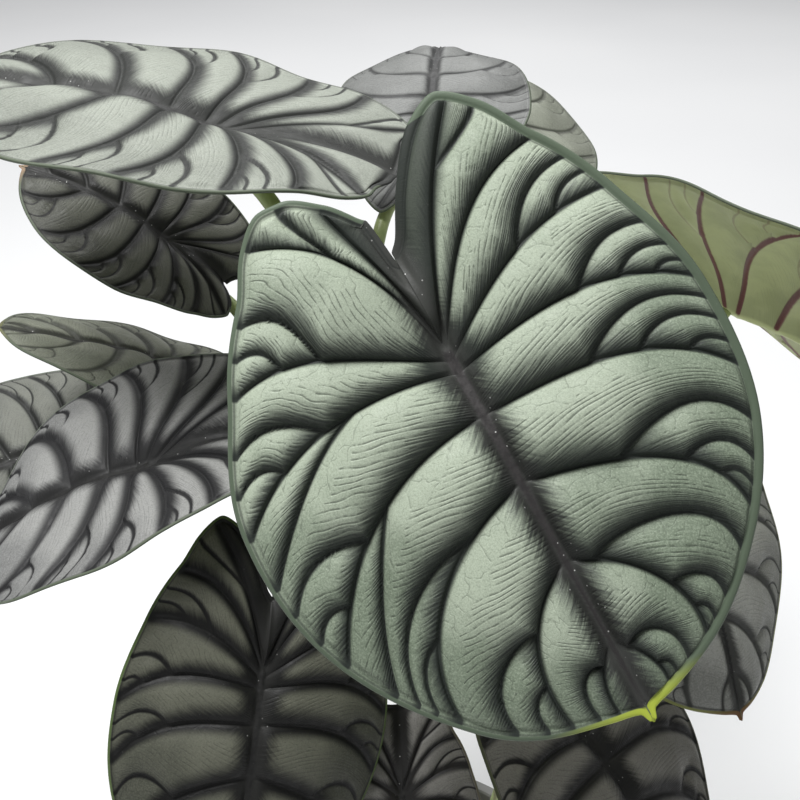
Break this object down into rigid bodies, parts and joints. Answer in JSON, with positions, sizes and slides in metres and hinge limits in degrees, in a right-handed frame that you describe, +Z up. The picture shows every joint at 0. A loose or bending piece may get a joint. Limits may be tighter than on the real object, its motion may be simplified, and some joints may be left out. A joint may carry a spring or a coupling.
{
  "type": "potted silver dragon alocasia",
  "caption": "Potted foliage plant: quilted, silver-green, heart-shaped blades with dark sunken veins on slender stalks that rise from the soil of a plain round pot.",
  "frame": {"origin": "centre of the pot's underside, on the surface the pot stands on", "axes": "+Z up along the pot's axis, -Y the way that the largest leaf faces, +X to the right of someone who looks at that leaf"},
  "size_m": [0.3885, 0.3409, 0.4599],
  "materials": {
    "blade": "silvery grey-green, satin, with sunken dark veins",
    "petiole": "smooth, pale olive green",
    "soil": "rough, dark brown",
    "pot": "plain mid grey, matt"
  },
  "bodies": {
    "root": {"pot": "pot", "soil": "soil", "leaf_front": "blade", "leaf_top_left": "blade", "leaf_mid_left": "blade", "leaf_left_small": "blade", "leaf_low_left": "blade", "leaf_far_left": "blade", "leaf_front_left_low": "blade", "leaf_front_mid_low": "blade", "leaf_front_right_low": "blade", "leaf_right_low": "blade", "leaf_right_high": "blade", "leaf_back_centre": "blade", "leaf_back_right": "blade", "petiole_front": "petiole", "petiole_top_left": "petiole", "petiole_mid_left": "petiole", "petiole_left_small": "petiole", "petiole_low_left": "petiole", "petiole_far_left": "petiole", "petiole_front_left_low": "petiole", "petiole_front_mid_low": "petiole", "petiole_front_right_low": "petiole", "petiole_right_low": "petiole", "petiole_right_high": "petiole", "petiole_back_centre": "petiole", "petiole_back_right": "petiole"}
  },
  "joints": []
}
